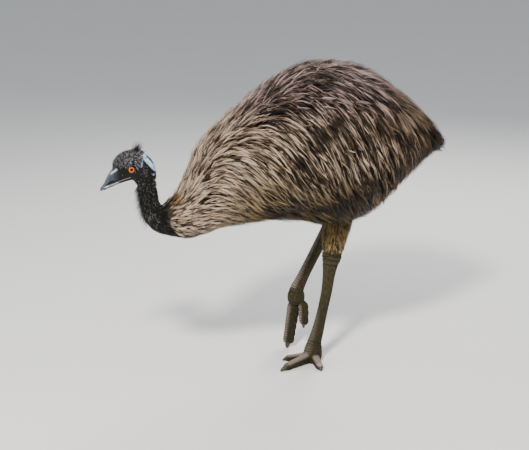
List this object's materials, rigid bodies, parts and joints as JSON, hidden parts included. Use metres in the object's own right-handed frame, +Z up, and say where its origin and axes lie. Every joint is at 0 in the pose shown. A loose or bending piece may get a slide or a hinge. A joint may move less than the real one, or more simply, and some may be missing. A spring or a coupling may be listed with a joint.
{
  "type": "emu",
  "caption": "Life-size still model of a standing emu stepping forward, neck bent low and right foot lifted, in shaggy grey-brown feathers",
  "frame": {"origin": "On the floor, on the flat sole of the left foot, under the joint where its toes meet", "axes": "+Z is up, away from the floor; the bird faces -X, so +X runs back along its length; its left side faces -Y"},
  "size_m": [1.2867, 0.5008, 1.1029],
  "materials": {
    "body_feathers": "matt, long hair-like feathers in drooping locks",
    "head_feathers": "short sparse black hair-like feathers over dark skin",
    "neck_feathers": "short dark feathers with a few pale flecks",
    "bill": "dark horn, slightly glossy, pale along the cutting edges",
    "eye": "wet, orange iris with a round black pupil",
    "leg_skin": "dry scaly skin with paler scutes",
    "claw": "dark worn horn"
  },
  "bodies": {
    "root": {"head": "head_feathers", "bill_upper": "bill", "bill_lower": "bill", "eye_left": "eye", "eye_right": "eye", "neck_upper": "neck_feathers", "neck_middle": "neck_feathers", "neck_lower": "neck_feathers", "torso": "body_feathers", "tail": "body_feathers", "wing_left": "body_feathers", "wing_right": "body_feathers", "thigh_left": "body_feathers", "shank_left": "leg_skin", "foot_left": "leg_skin", "toe_left_inner": "leg_skin", "toe_left_middle": "leg_skin", "toe_left_outer": "leg_skin", "claw_left_inner": "claw", "claw_left_middle": "claw", "claw_left_outer": "claw", "thigh_right": "body_feathers", "shank_right": "leg_skin", "foot_right": "leg_skin", "toe_right_inner": "leg_skin", "toe_right_middle": "leg_skin", "toe_right_outer": "leg_skin", "claw_right_inner": "claw", "claw_right_middle": "claw", "claw_right_outer": "claw"}
  },
  "joints": []
}
